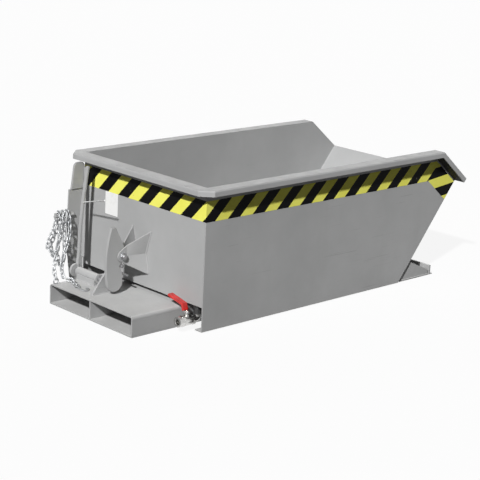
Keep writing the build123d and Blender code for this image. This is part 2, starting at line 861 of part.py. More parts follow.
rising = run([
    (eye_x, eye_y - eye_hold / 2, eye_z + eye_bend - 0.87 * eye_hold),
    (eye_x, eye_y + (step - eye_hold) / 2, eye_z + eye_bend + 0.87 * (step - eye_hold)),
    (eye_x + 8, eye_y + 24, top + 62),
    (eye_x + 33, eye_y + 56, top + 108),
    (spots[0] - 29, far_y - 6, peg_z - 112),
    (spots[0] - 7, far_y + 15, peg_z - 52),
    (spots[0], far_y + 11, peg_z - 12),
    (spots[0], far_y, loop_z),
], (4,), (-1, 0, -1), after=over_peg)
first_loop = hanging(spots[0], spots[1], 170, -24)
second_loop = hanging(spots[1], spots[2], 215, -8)
falling = run([
    (spots[2], near_y, loop_z),
    (spots[2], near_y - 11, peg_z - 12),
    (spots[2] - 3, near_y - 18, peg_z - 50),
    (spots[2] - 12, near_y - 25, peg_z - 88),
    (spots[0] + 8, near_y - 32, peg_z - 128),
    (spots[0] - 20, near_y - 42, peg_z - 195),
    (eye_x + 46, eye_y + 22, top + 40),
    (eye_x + 43, eye_y - 3, bed + 6),
    (eye_x + 54, eye_y - 27, bed + 1.5),
    (eye_x + 50, eye_y - 54, bed + 1),
    (eye_x + 38, eye_y - 72, bed + 2),
    (eye_x + 34, eye_y - 92, bed + 2),
], (8,), (1, 0, 0), before=over_peg)
joints = rising + first_loop + second_loop + falling
first_top = len(rising) - 1
link_count = len(joints) - 1
ways = [(end - start).normalized() for start, end in zip(joints, joints[1:])]


def square_to(side, ahead):
    return (side - ahead * side.dot(ahead)).normalized()


def eased(side, ahead, goal, share):
    """A link's side, turned by up to 15 degrees towards a goal or its like a share of a turn away."""
    twist = degrees(atan2(side.cross(goal).dot(ahead), side.dot(goal)))
    twist = (twist + share / 2) % share - share / 2
    return side.rotate(Axis((0, 0, 0), ahead), max(-15, min(15, twist)))


def turned_to_bed(side, ahead, last):
    """A link on the bed turns to lean on one edge, and the last links turn upright for the hook."""
    up = Vector(0, 0, 1)
    level = ahead.cross(up).normalized()
    goal = (level + up).normalized()
    if last:
        goal = level if (link_count - 1 - first_top) % 2 == 0 else up
    return eased(side, ahead, goal, 180 if last else 90)


sides = [Vector(1, 0, 0)] * link_count
for i in range(first_top - 1, -1, -1):
    sides[i] = square_to(sides[i + 1], ways[i])
    if i < 5:
        sides[i] = eased(sides[i], ways[i], Vector(1, 0, 0), 180)
for i in range(first_top + 1, link_count):
    sides[i] = square_to(sides[i - 1], ways[i])
    if joints[i].Z < bed + 15:
        sides[i] = turned_to_bed(sides[i], ways[i], link_count - i < 5)
links = []
for i, ahead in enumerate(ways):
    facing = sides[i] if (i - first_top) % 2 == 0 else ahead.cross(sides[i])
    outward = (ways[max(i - 1, 0)] - ways[min(i + 1, link_count - 1)]) * 0.6 * bar
    middle = (joints[i] + joints[i + 1]) / 2 + outward - facing * outward.dot(facing)
    place = Plane(middle, x_dir=ahead, z_dir=facing)
    links.append(place.location * chain_link())
save("safety_chain", *links)

# The end hook leans from the last link down to the fork box
ring_radius = hook_hole + hook_ring_wall
claw = Line((ring_radius - 2 * slide, 0), (hook_shank, 0))
claw += ThreePointArc((hook_shank, 0), (hook_shank + hook_bow, hook_bow), (hook_shank, 2 * hook_bow))
claw += Line((hook_shank, 2 * hook_bow), (hook_shank - hook_bow / 2, 1.6 * hook_bow))
end_hook = Circle(ring_radius) + trace(claw, hook_bar) - Circle(hook_hole)
level_way = Vector(ways[-1].X, ways[-1].Y, 0).normalized()
leaning = level_way * cos(radians(hook_lean)) - Vector(0, 0, sin(radians(hook_lean)))
upward = level_way * sin(radians(hook_lean)) + Vector(0, 0, cos(radians(hook_lean)))
flat = Plane(joints[-1] + ways[-1] * (hook_hole - 0.4), x_dir=leaning, z_dir=upward)
save("chain_hook", extrude(flat * end_hook, amount=hook_bar / 3, both=True))
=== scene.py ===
import json
import math
import bpy
import numpy as np
from mathutils import Matrix, Vector


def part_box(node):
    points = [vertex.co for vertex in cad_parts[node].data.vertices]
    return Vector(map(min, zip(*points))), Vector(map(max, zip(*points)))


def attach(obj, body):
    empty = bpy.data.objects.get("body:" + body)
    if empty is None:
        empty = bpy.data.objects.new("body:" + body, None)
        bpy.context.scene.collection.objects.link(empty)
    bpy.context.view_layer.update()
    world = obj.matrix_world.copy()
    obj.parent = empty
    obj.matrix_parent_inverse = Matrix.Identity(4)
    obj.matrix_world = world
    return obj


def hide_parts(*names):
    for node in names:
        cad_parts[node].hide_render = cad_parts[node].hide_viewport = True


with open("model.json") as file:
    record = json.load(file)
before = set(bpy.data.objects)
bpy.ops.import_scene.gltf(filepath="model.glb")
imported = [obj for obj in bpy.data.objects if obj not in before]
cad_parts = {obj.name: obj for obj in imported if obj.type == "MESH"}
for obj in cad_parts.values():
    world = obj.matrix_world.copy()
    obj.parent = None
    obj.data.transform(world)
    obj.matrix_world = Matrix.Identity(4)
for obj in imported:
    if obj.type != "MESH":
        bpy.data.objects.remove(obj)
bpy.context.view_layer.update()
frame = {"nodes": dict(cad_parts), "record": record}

nodes = frame["nodes"]
bodies = frame["record"]["behaviour"]["bodies"]
bodyOf = {node: body for body, names in bodies.items() for node in names}
slotOf = {piece["node"]: piece["material_slot"] for piece in frame["record"]["subparts"]}
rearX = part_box("rear_wall")[0].x  # outer face of the rear wall
print("frame loaded,", len(nodes), "nodes")

bpy.ops.object.select_all(action="DESELECT")

# The camera stands behind the right rear corner, a little above the rim
cameraSettings = {
    "place": (-4.27506, -4.35471, 1.85863),
    "right": (0.728492, -0.683458, 0.046735),
    "up": (0.14777, 0.223389, 0.963463),
    "back": (-0.668927, -0.694969, 0.263732),
    "lens": 109.62,
    "sensor": 36.0,
    "farthest": 50.0,
}


def addCamera(s):
    bpy.ops.object.camera_add()
    camera = bpy.context.object
    camera.name = "photo_camera"
    axes = Matrix((s["right"], s["up"], s["back"])).transposed()
    camera.matrix_world = Matrix.Translation(s["place"]) @ axes.to_4x4()
    camera.data.lens = s["lens"]
    camera.data.sensor_width = s["sensor"]
    camera.data.clip_end = s["farthest"]
    bpy.context.scene.camera = camera


addCamera(cameraSettings)
bpy.context.scene.view_settings.view_transform = "Standard"
print("camera set")

# Light: a lamp behind the right rear corner, a broad soft one in front, a weak sky and a pale floor,
# which the camera and reflections see as white
lightSettings = {
    "lampWay": (0.69, 0.395, -0.607),
    "lampStrength": 4.15,
    "lampAngle": 2.5,
    "fillWay": (-0.705, -0.705, -0.08),
    "fillStrength": 1.4,
    "fillAngle": 70.0,
    "skyStrength": 0.06,
    "floorSize": 40.0,
    "floorColour": (0.82, 0.82, 0.82, 1),
    "floorBounce": (0.13, 0.13, 0.13, 1),
    "floorWhite": 0.9,
    "floorRough": 0.9,
    "floorDrop": 0.0005,
}


def seenDirectly(tree):
    ray = tree.nodes.new("ShaderNodeLightPath")
    total = ray.outputs["Is Camera Ray"]
    for name in ("Is Glossy Ray", "Is Transmission Ray"):
        either = tree.nodes.new("ShaderNodeMath")
        either.operation = "MAXIMUM"
        tree.links.new(total, either.inputs[0])
        tree.links.new(ray.outputs[name], either.inputs[1])
        total = either.outputs[0]
    return total


def addSun(name, way, strength, angle):
    bpy.ops.object.light_add(type="SUN")
    lamp = bpy.context.object
    lamp.name = name
    lamp.rotation_euler = Vector(way).to_track_quat("-Z", "Y").to_euler()
    lamp.data.energy = strength
    lamp.data.angle = math.radians(angle)


def addLight(s):
    addSun("main_lamp", s["lampWay"], s["lampStrength"], s["lampAngle"])
    addSun("fill_lamp", s["fillWay"], s["fillStrength"], s["fillAngle"])
    world = bpy.data.worlds.new("studio")
    bpy.context.scene.world = world
    world.use_nodes = True
    tree = world.node_tree
    sky = tree.nodes["Background"]
    sky.inputs["Color"].default_value = (1, 1, 1, 1)
    sky.inputs["Strength"].default_value = s["skyStrength"]
    backdrop = tree.nodes.new("ShaderNodeBackground")
    mix = tree.nodes.new("ShaderNodeMixShader")
    tree.links.new(seenDirectly(tree), mix.inputs["Fac"])
    tree.links.new(sky.outputs[0], mix.inputs[1])
    tree.links.new(backdrop.outputs[0], mix.inputs[2])
    tree.links.new(mix.outputs[0], tree.nodes["World Output"].inputs["Surface"])


def addFloor(s):
    bpy.ops.mesh.primitive_plane_add(size=s["floorSize"], location=(0, 0, -s["floorDrop"]))
    floor = bpy.context.object
    floor.name = "studio_floor"
    material = bpy.data.materials.new("studio_floor")
    material.use_nodes = True
    tree = material.node_tree
    shader = tree.nodes["Principled BSDF"]
    shader.inputs["Base Color"].default_value = s["floorColour"]
    shader.inputs["Roughness"].default_value = s["floorRough"]
    shader.inputs["Specular IOR Level"].default_value = 0.0
    glow = tree.nodes.new("ShaderNodeEmission")
    white = tree.nodes.new("ShaderNodeMixShader")
    white.inputs["Fac"].default_value = s["floorWhite"]
    tree.links.new(shader.outputs[0], white.inputs[1])
    tree.links.new(glow.outputs[0], white.inputs[2])
    bounce = tree.nodes.new("ShaderNodeBsdfDiffuse")
    bounce.inputs["Color"].default_value = s["floorBounce"]
    mix = tree.nodes.new("ShaderNodeMixShader")
    tree.links.new(seenDirectly(tree), mix.inputs["Fac"])
    tree.links.new(bounce.outputs[0], mix.inputs[1])
    tree.links.new(white.outputs[0], mix.inputs[2])
    tree.links.new(mix.outputs[0], tree.nodes["Material Output"].inputs["Surface"])
    floor.data.materials.append(material)


addLight(lightSettings)
addFloor(lightSettings)
print("light and floor set")


# Materials read Object coordinates and normals, and the tape its own map
def addNode(tree, kind, inputs=None, **settings):
    node = tree.nodes.new(kind)
    for key, value in settings.items():
        setattr(node, key, value)
    for key, value in (inputs or {}).items():
        if isinstance(value, bpy.types.NodeSocket):
            tree.links.new(value, node.inputs[key])
        else:
            node.inputs[key].default_value = value
    return node


def newMaterial(name):
    material = bpy.data.materials.new(name)
    material.use_nodes = True
    tree = material.node_tree
    place = addNode(tree, "ShaderNodeTexCoord").outputs["Object"]
    return material, tree, tree.nodes["Principled BSDF"], place


def noise(tree, place, scale, detail=3.0, rough=0.5, stretch=None):
    if stretch:
        place = addNode(tree, "ShaderNodeMapping", {"Vector": place, "Scale": stretch}).outputs[0]
    inputs = {"Vector": place, "Scale": scale, "Detail": detail, "Roughness": rough}
    return addNode(tree, "ShaderNodeTexNoise", inputs).outputs[0]


def ranged(tree, value, low, high, toLow=0.0, toHigh=1.0):
    inputs = {"Value": value, "From Min": low, "From Max": high, "To Min": toLow, "To Max": toHigh}
    return addNode(tree, "ShaderNodeMapRange", inputs).outputs[0]


def maths(tree, operation, first, second=0.5):
    return addNode(tree, "ShaderNodeMath", {0: first, 1: second}, operation=operation).outputs[0]


def mixed(tree, share, first, second):
    inputs = {0: share, 6: first, 7: second}  # the colour sockets of a mix node
    return addNode(tree, "ShaderNodeMix", inputs, data_type="RGBA").outputs[2]


# The rounded normal, and a value that is 1 where it turns away from the flat one
edgeTurn = {"from": 0.985, "to": 0.75}


def edges(tree, radius, samples):
    rounded = addNode(tree, "ShaderNodeBevel", {"Radius": radius}, samples=samples).outputs[0]
    flat = addNode(tree, "ShaderNodeNewGeometry").outputs["Normal"]
    facing = addNode(tree, "ShaderNodeVectorMath", {0: rounded, 1: flat}, operation="DOT_PRODUCT")
    return rounded, ranged(tree, facing.outputs["Value"], edgeTurn["from"], edgeTurn["to"])


def bumped(tree, height, strength, distance, normal=None):
    inputs = {"Height": height, "Strength": strength, "Distance": distance}
    if normal:
        inputs["Normal"] = normal
    return addNode(tree, "ShaderNodeBump", inputs).outputs[0]


# In each finish an edge is a radius and samples, a relief a strength and a distance, and a pattern
# a scale, detail, roughness and stretch
paintSettings = {
    "colour": (0.360, 0.362, 0.362, 1),
    "pale": (0.415, 0.417, 0.417, 1),
    "dusty": (0.300, 0.296, 0.288, 1),
    "bared": (0.165, 0.160, 0.155, 1),
    # paler colour painted on low level tops as a highlight
    "topHighlight": (0.530, 0.530, 0.525, 1),
    # darker colour painted on the rim tops as shade
    "rimTopShade": (0.270, 0.270, 0.268, 1),
    "gloss": 0.25,
    "rough": (0.40, 0.54),
    "baredRough": 0.12,
    "edge": (0.0025, 6),
    "relief": (0.12, 0.0006),
    "baredDepth": 0.8,
    "splashTop": 0.07,
    "splashRagged": 0.05,
    "splashShare": 0.12,
    "levelFrom": (0.7, 0.95),
    "topHighlightFades": (0.17, 0.14),
    "rimShadeFrom": (0.40, 0.44),
    "clouds": (2.6, 5.0, 0.6),
    "runs": (9.0, 4.0, 0.55, (1.0, 1.0, 0.16)),
    "splashes": (14.0, 5.0, 0.65),
    "patches": (11.0, 5.0, 0.6),
    "rubsAndHighlights": (24.0, 4.0),
    "flakes": (85.0, 6.0, 0.7),
    "scratches": (80.0, 2.0, 0.4, (0.06, 1.6, 4.0)),
    "scratchAreas": (3.3, 2.0),
    "sheen": (18.0, 4.0, 0.6),
    "peel": (420.0, 2.0, 0.5),
}


def greyPaint(name, s):
    material, tree, shader, place = newMaterial(name)
    rounded, edge = edges(tree, *s["edge"])
    clouds = noise(tree, place, *s["clouds"])
    runs = noise(tree, place, *s["runs"])
    colour = mixed(tree, ranged(tree, clouds, 0.35, 0.7), s["colour"], s["pale"])
    colour = mixed(tree, ranged(tree, runs, 0.58, 0.78, 0.0, 0.16), colour, s["dusty"])
    height = addNode(tree, "ShaderNodeSeparateXYZ", {0: place}).outputs["Z"]
    splashes = noise(tree, place, *s["splashes"])
    ragged = ranged(tree, splashes, 0.3, 0.7, -s["splashRagged"], s["splashRagged"])
    splash = maths(tree, "ADD", height, ragged)
    splashed = ranged(tree, splash, s["splashTop"], 0.0, 0.0, s["splashShare"])
    colour = mixed(tree, splashed, colour, s["dusty"])
    # painted highlight: low level tops made paler; painted shade: tops high up, on the rim, made
    # darker
    normal = addNode(tree, "ShaderNodeTexCoord").outputs["Normal"]
    rise = addNode(tree, "ShaderNodeSeparateXYZ", {0: normal}).outputs["Z"]
    upward = ranged(tree, rise, *s["levelFrom"])
    litLowTops = maths(tree, "MULTIPLY", upward, ranged(tree, height, *s["topHighlightFades"]))
    patchy = ranged(tree, noise(tree, place, *s["patches"]), 0.3, 0.7, 0.6, 1.0)
    colour = mixed(tree, maths(tree, "MULTIPLY", litLowTops, patchy), colour, s["topHighlight"])
    shadedRimTops = maths(tree, "MULTIPLY", upward, ranged(tree, height, *s["rimShadeFrom"]))
    colour = mixed(tree, maths(tree, "MULTIPLY", shadedRimTops, patchy), colour, s["rimTopShade"])
    # wear and painted highlight: edges made paler in patches, partly rubbed paint and partly painted
    # highlight; chips along them, and scratches in patches
    rubbedAndLitEdges = ranged(tree, noise(tree, place, *s["rubsAndHighlights"]), 0.42, 0.62, 0.1, 0.55)
    colour = mixed(tree, maths(tree, "MULTIPLY", edge, rubbedAndLitEdges), colour, s["pale"])
    flaked = ranged(tree, noise(tree, place, *s["flakes"]), 0.6, 0.64)
    chips = maths(tree, "MULTIPLY", edge, flaked)
    lines = ranged(tree, noise(tree, place, *s["scratches"]), 0.715, 0.73)
    areas = ranged(tree, noise(tree, place, *s["scratchAreas"]), 0.52, 0.6, 0.0, 0.35)
    scratches = maths(tree, "MULTIPLY", lines, areas)
    bared = maths(tree, "MAXIMUM", chips, scratches)
    tree.links.new(mixed(tree, bared, colour, s["bared"]), shader.inputs["Base Color"])
    shader.inputs["Specular IOR Level"].default_value = s["gloss"]
    rough = ranged(tree, noise(tree, place, *s["sheen"]), 0.3, 0.7, *s["rough"])
    rough = maths(tree, "ADD", rough, maths(tree, "MULTIPLY", bared, s["baredRough"]))
    tree.links.new(rough, shader.inputs["Roughness"])
    peel = noise(tree, place, *s["peel"])
    relief = maths(tree, "SUBTRACT", peel, maths(tree, "MULTIPLY", bared, s["baredDepth"]))
    tree.links.new(bumped(tree, relief, *s["relief"], rounded), shader.inputs["Normal"])
    return material


steelSettings = {
    "colour": (0.46, 0.46, 0.47, 1),
    "dull": (0.30, 0.30, 0.30, 1),
    "edgeColour": (0.62, 0.62, 0.62, 1),
    "edgeShare": 0.5,
    "edge": (0.0012, 4),
    "metal": 0.85,
    "rough": (0.30, 0.50),
    "relief": (0.15, 0.0004),
    "turned": (160.0, 3.0, 0.6, (1.0, 0.1, 1.0)),
    "worn": (38.0, 5.0, 0.65),
}


def bareSteel(name, s):
    material, tree, shader, place = newMaterial(name)
    rounded, edge = edges(tree, *s["edge"])
    turned = noise(tree, place, *s["turned"])
    worn = noise(tree, place, *s["worn"])
    colour = mixed(tree, ranged(tree, worn, 0.4, 0.68), s["colour"], s["dull"])
    colour = mixed(tree, maths(tree, "MULTIPLY", edge, s["edgeShare"]), colour, s["edgeColour"])
    tree.links.new(colour, shader.inputs["Base Color"])
    shader.inputs["Metallic"].default_value = s["metal"]
    tree.links.new(ranged(tree, turned, 0.3, 0.7, *s["rough"]), shader.inputs["Roughness"])
    tree.links.new(bumped(tree, turned, *s["relief"], rounded), shader.inputs["Normal"])
    return material


zincSettings = {
    "colour": (0.56, 0.57, 0.58, 1),
    "dull": (0.34, 0.35, 0.36, 1),
    "grime": (0.07, 0.068, 0.065, 1),
    "metal": 0.7,
    "rough": (0.30, 0.48),
    "relief": (0.2, 0.0005),
    "flakes": 210.0,
    "patches": (55.0, 4.0, 0.6),
    "specks": (95.0, 5.0, 0.7),
    "specksShare": 0.6,
}
brightSettings = {
    **zincSettings,
    "colour": (0.92, 0.92, 0.92, 1),
    "dull": (0.78, 0.78, 0.78, 1),
    "grime": (0.30, 0.30, 0.29, 1),
    "metal": 0.2,
}


def zincSteel(name, s):
    material, tree, shader, place = newMaterial(name)
    grid = {"Vector": place, "Scale": s["flakes"]}
    flakes = addNode(tree, "ShaderNodeTexVoronoi", grid).outputs["Distance"]
    patches = noise(tree, place, *s["patches"])
    colour = mixed(tree, ranged(tree, patches, 0.38, 0.66), s["colour"], s["dull"])
    grime = ranged(tree, noise(tree, place, *s["specks"]), 0.6, 0.72, 0.0, s["specksShare"])
    tree.links.new(mixed(tree, grime, colour, s["grime"]), shader.inputs["Base Color"])
    shader.inputs["Metallic"].default_value = s["metal"]
    tree.links.new(ranged(tree, flakes, 0.0, 0.6, *s["rough"]), shader.inputs["Roughness"])
    tree.links.new(bumped(tree, patches, *s["relief"]), shader.inputs["Normal"])
    return material


platedSettings = {
    "colour": (0.66, 0.655, 0.64, 1),
    "warm": (0.52, 0.48, 0.40, 1),
    "edgeColour": (0.85, 0.84, 0.82, 1),
    "edgeShare": 0.4,
    "edge": (0.0012, 4),
    "rough": (0.14, 0.30),
    "relief": (0.12, 0.0004),
    "cast": (130.0, 4.0, 0.6),
    "stains": (30.0, 5.0, 0.6),
}


def platedBrass(name, s):
    material, tree, shader, place = newMaterial(name)
    rounded, edge = edges(tree, *s["edge"])
    cast = noise(tree, place, *s["cast"])
    stains = noise(tree, place, *s["stains"])
    colour = mixed(tree, ranged(tree, stains, 0.55, 0.75, 0.0, 0.5), s["colour"], s["warm"])
    # edges made paler: painted highlight along them
    colour = mixed(tree, maths(tree, "MULTIPLY", edge, s["edgeShare"]), colour, s["edgeColour"])
    tree.links.new(colour, shader.inputs["Base Color"])
    shader.inputs["Metallic"].default_value = 1.0
    tree.links.new(ranged(tree, cast, 0.3, 0.7, *s["rough"]), shader.inputs["Roughness"])
    tree.links.new(bumped(tree, cast, *s["relief"], rounded), shader.inputs["Normal"])
    return material


# The elbow is plated below and near black above, with a ragged line between
elbowDarkSettings = {
    "dark": (0.022, 0.022, 0.023, 1),
    "worn": (0.07, 0.068, 0.065, 1),
    "from": 0.052,
    "to": 0.066,
    "ragged": 0.004,
    "rough": (0.24, 0.6),
    "relief": (0.2, 0.0005),
    "patches": (60.0, 5.0, 0.6),
}


def elbowDarkAbove(name, plated, s):
    material, tree, shader, place = newMaterial(name)
    worn = noise(tree, place, *s["patches"])
    darkAbove = mixed(tree, ranged(tree, worn, 0.45, 0.7), s["dark"], s["worn"])
    bright = mixed(tree, ranged(tree, worn, 0.5, 0.75, 0.0, 0.5), plated["colour"], plated["warm"])
    height = addNode(tree, "ShaderNodeSeparateXYZ", {0: place}).outputs["Z"]
    ragged = ranged(tree, worn, 0.3, 0.7, -s["ragged"], s["ragged"])
    upper = ranged(tree, maths(tree, "ADD", height, ragged), s["from"], s["to"])
    tree.links.new(mixed(tree, upper, bright, darkAbove), shader.inputs["Base Color"])
    tree.links.new(ranged(tree, upper, 0.0, 1.0, 1.0, 0.0), shader.inputs["Metallic"])
    tree.links.new(ranged(tree, upper, 0.0, 1.0, *s["rough"]), shader.inputs["Roughness"])
    tree.links.new(bumped(tree, worn, *s["relief"]), shader.inputs["Normal"])
    return material


redSettings = {
    "colour": (0.68, 0.018, 0.012, 1),
    "pale": (0.74, 0.06, 0.045, 1),
    "dark": (0.36, 0.012, 0.01, 1),
    "coat": 0.6,
    "coatRough": 0.12,
    "rough": (0.30, 0.46),
    "relief": (0.1, 0.0004),
    "edge": (0.002, 4),
    "edgeShare": 0.6,
    "dips": (26.0, 4.0, 0.5),
    "sheen": (90.0, 3.0),
    "grain": (300.0, 2.0),
}


def redSleeve(name, s):
    material, tree, shader, place = newMaterial(name)
    rounded, edge = edges(tree, *s["edge"])
    dips = noise(tree, place, *s["dips"])
    colour = mixed(tree, ranged(tree, dips, 0.35, 0.7), s["colour"], s["dark"])
    colour = mixed(tree, maths(tree, "MULTIPLY", edge, s["edgeShare"]), colour, s["pale"])
    tree.links.new(colour, shader.inputs["Base Color"])
    shader.inputs["Coat Weight"].default_value = s["coat"]
    shader.inputs["Coat Roughness"].default_value = s["coatRough"]
    rough = ranged(tree, noise(tree, place, *s["sheen"]), 0.3, 0.7, *s["rough"])
    tree.links.new(rough, shader.inputs["Roughness"])
    grain = noise(tree, place, *s["grain"])
    tree.links.new(bumped(tree, grain, *s["relief"], rounded), shader.inputs["Normal"])
    return material


finishes = {
    "grey_paint": greyPaint("grey_paint_finish", paintSettings),
    "bare_steel": bareSteel("bare_steel_finish", steelSettings),
    "zinc_steel": zincSteel("zinc_steel_finish", zincSettings),
    "plated_brass": platedBrass("plated_brass_finish", platedSettings),
    "red_plastic": redSleeve("red_sleeve_finish", redSettings),
}


def dress(piece, material):
    piece.data.materials.clear()
    piece.data.materials.append(material)


for name, piece in nodes.items():
    dress(piece, finishes[slotOf[name]])
dress(nodes["drain_elbow"], elbowDarkAbove("elbow_finish", platedSettings, elbowDarkSettings))
print("finishes made,", len(finishes))


# Helpers for new pieces
def only(piece):
    bpy.ops.object.select_all(action="DESELECT")
    piece.select_set(True)
    bpy.context.view_layer.objects.active = piece


def applyModifiers(piece):
    only(piece)
    for modifier in list(piece.modifiers):
        bpy.ops.object.modifier_apply(modifier=modifier.name)


def put(piece, name, body, slotName, material=None):
    piece.name = name
    piece.data.name = name
    dress(piece, material or finishes[slotName])
    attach(piece, body)


def joined(pieces):
    bpy.ops.object.select_all(action="DESELECT")
    for piece in pieces:
        piece.select_set(True)
    bpy.context.view_layer.objects.active = pieces[0]
    if len(pieces) > 1:
        bpy.ops.object.join()
    return bpy.context.view_layer.objects.active


# Pieces whose edges are rounded: a copy of the node, merged and bevelled, by width and segments
roundedSettings = {
    "latch_hook": (0.0012, 2),
    "chain_hook": (0.0016, 3),
    "chain_peg": (0.0015, 2),
    "release_lever": (0.0014, 2),
    "release_crank": (0.0010, 2),
    "catch_lug": (0.0012, 2),
    "hook_bracket_left": (0.0012, 2),
    "hook_bracket_right": (0.0012, 2),
    "hook_nut": (0.0010, 2),
    "hook_bolt": (0.0010, 2),
    "union_nut": (0.0010, 2),
    "valve_body": (0.0010, 2),
    "valve_gland": (0.0007, 2),
    "valve_handle": (0.0008, 2),
    "valve_grip": (0.0026, 3),
    "handle_nut": (0.0009, 2),
}
bevelSettings = {
    "merge": 0.00002,
    "flatWithin": 1.0,
    "roundOver": 40.0,
    "smoothUnder": 35.0,
    "flatWeight": 100,
}


def roundNode(s, node, width, segments):
    piece = bpy.data.objects.new(node + "_rounded", nodes[node].data.copy())
    bpy.context.scene.collection.objects.link(piece)
    only(piece)
    bpy.ops.object.mode_set(mode="EDIT")
    bpy.ops.mesh.select_all(action="SELECT")
    bpy.ops.mesh.remove_doubles(threshold=s["merge"])
    bpy.ops.mesh.dissolve_limited(angle_limit=math.radians(s["flatWithin"]))
    bpy.ops.object.mode_set(mode="OBJECT")
    bevel = piece.modifiers.new("edge", "BEVEL")
    bevel.width = width
    bevel.segments = segments
    bevel.limit_method = "ANGLE"
    bevel.angle_limit = math.radians(s["roundOver"])
    bevel.use_clamp_overlap = True
    applyModifiers(piece)
    bpy.ops.object.shade_smooth_by_angle(angle=math.radians(s["smoothUnder"]))
    flats = piece.modifiers.new("flats", "WEIGHTED_NORMAL")
    flats.weight = s["flatWeight"]
    flats.keep_sharp = True
    applyModifiers(piece)
    put(piece, node + "_rounded", bodyOf[node], slotOf[node])
    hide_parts(node)


for node, (width, segments) in roundedSettings.items():
    roundNode(bevelSettings, node, width, segments)
print("rounded pieces made,", len(roundedSettings))

# Corners of the tub seen from the side, in X from the rear wall and in Z
tubOutline = {"knee": (1.353, 0.582), "lip": (1.521, 0.446), "foot": (1.163, 0.0)}


def outlinePoint(name):
    return Vector((rearX, 0.0)) + Vector(tubOutline[name])


# Hazard tape under the rim: one band on the rear wall and two on each side, striped at 45 degrees
tapeSettings = {
    "low": 0.446,
    "high": 0.530,
    "lift": 0.00006,
    "thick": 0.00036,
    "period": 0.131,
    "yellowAt": -0.368,
    "rearPeriod": 0.1287,
    "sidePeriod": 0.1328,
    "slopeStart": 0.059,
    "slopeLow": -0.127,
    "slopeHigh": -0.031,
    "slopeYellowAt": 0.215,
    "slopeLayers": 2.2,
    "slopeLength": 0.30,
    "sideLength": 1.46,
    "overlap": 0.006,
    "frontShort": 0.0012,
    "cuts": 7,
    "yellow": (0.89, 0.87, 0.165, 1),
    "deepYellow": (0.83, 0.80, 0.120, 1),
    "black": (0.0045, 0.0045, 0.005, 1),
    "scuff": (0.30, 0.29, 0.25, 1),
    "gloss": 0.03,
    "rough": (0.34, 0.48),
    "relief": (0.1, 0.0003),
    "stripeEdge": (0.246, 0.254),
    "ragged": 0.0006,
    "nicks": (160.0, 3.0),
    "clouds": (12.0, 4.0, 0.6),
    "marks": (70.0, 5.0, 0.7),
    "markAreas": (6.0, 3.0),
    "cells": 420.0,
}


def tapeMaterial(name, s):
    material, tree, shader, place = newMaterial(name)
    spot = addNode(tree, "ShaderNodeUVMap", uv_map="tape").outputs[0]
    parts = addNode(tree, "ShaderNodeSeparateXYZ", {0: spot})
    along = maths(tree, "SUBTRACT", parts.outputs["X"], parts.outputs["Y"])
    nicks = noise(tree, place, *s["nicks"])
    ragged = ranged(tree, nicks, 0.3, 0.7, -s["ragged"], s["ragged"])
    fromYellow = maths(tree, "SUBTRACT", maths(tree, "ADD", along, ragged), s["yellowAt"])
    turn = maths(tree, "DIVIDE", fromYellow, s["period"])
    share = maths(tree, "FRACT", maths(tree, "ADD", turn, 100.5))  # whole turns keep it positive
    wave = maths(tree, "ABSOLUTE", maths(tree, "SUBTRACT", share, 0.5))
    stripe = ranged(tree, wave, *s["stripeEdge"])
    clouds = noise(tree, place, *s["clouds"])
    yellow = mixed(tree, ranged(tree, clouds, 0.4, 0.75), s["yellow"], s["deepYellow"])
    colour = mixed(tree, stripe, yellow, s["black"])
    marks = ranged(tree, noise(tree, place, *s["marks"]), 0.63, 0.7)
    areas = ranged(tree, noise(tree, place, *s["markAreas"]), 0.48, 0.62, 0.0, 0.4)
    scuffs = maths(tree, "MULTIPLY", marks, areas)
    tree.links.new(mixed(tree, scuffs, colour, s["scuff"]), shader.inputs["Base Color"])
    shader.inputs["Specular IOR Level"].default_value = s["gloss"]
    grid = {"Vector": place, "Scale": s["cells"]}
    cells = addNode(tree, "ShaderNodeTexVoronoi", grid, feature="DISTANCE_TO_EDGE").outputs[0]
    tree.links.new(ranged(tree, clouds, 0.3, 0.7, *s["rough"]), shader.inputs["Roughness"])
    pressed = ranged(tree, cells, 0.0, 0.08)
    tree.links.new(bumped(tree, pressed, *s["relief"]), shader.inputs["Normal"])
    return material


tapeFinish = tapeMaterial("hazard_tape_finish", tapeSettings)


# A band is drawn flat, stood up in X and Z, given its map, trimmed and thickened
def tapeBand(s, corner, length, height, stretch, offset, tilt=0.0, trims=(), layers=1.0):
    bpy.ops.mesh.primitive_plane_add(size=1.0)
    band = bpy.context.object
    band.data.transform(Matrix.Diagonal((length, height, 1, 1)) @ Matrix.Translation((0.5, 0.5, 0)))
    bpy.ops.object.mode_set(mode="EDIT")
    bpy.ops.mesh.select_all(action="SELECT")
    bpy.ops.mesh.subdivide(number_cuts=s["cuts"])
    bpy.ops.object.mode_set(mode="OBJECT")
    flat = np.array([v.co[:] for v in band.data.vertices])
    tilted = Matrix.Translation((corner[0], 0, corner[1])) @ Matrix.Rotation(tilt, 4, "Y")
    band.data.transform(tilted @ Matrix.Rotation(math.pi / 2, 4, "X"))
    layer = band.data.uv_layers.new(name="tape")
    for loop in band.data.loops:
        u, v, _ = flat[loop.vertex_index]
        layer.data[loop.index].uv = (u * stretch + offset[0], v + offset[1])
    only(band)
    bpy.ops.object.mode_set(mode="EDIT")
    for point, away in trims:
        bpy.ops.mesh.select_all(action="SELECT")
        bpy.ops.mesh.bisect(
            plane_co=(point[0], 0, point[1]),
            plane_no=(away[0], 0, away[1]),
            clear_outer=True,
            use_fill=False,
        )
    bpy.ops.object.mode_set(mode="OBJECT")
    shell = band.modifiers.new("film", "SOLIDIFY")
    shell.thickness = s["thick"] * layers
    shell.offset = 1.0
    applyModifiers(band)
    return band


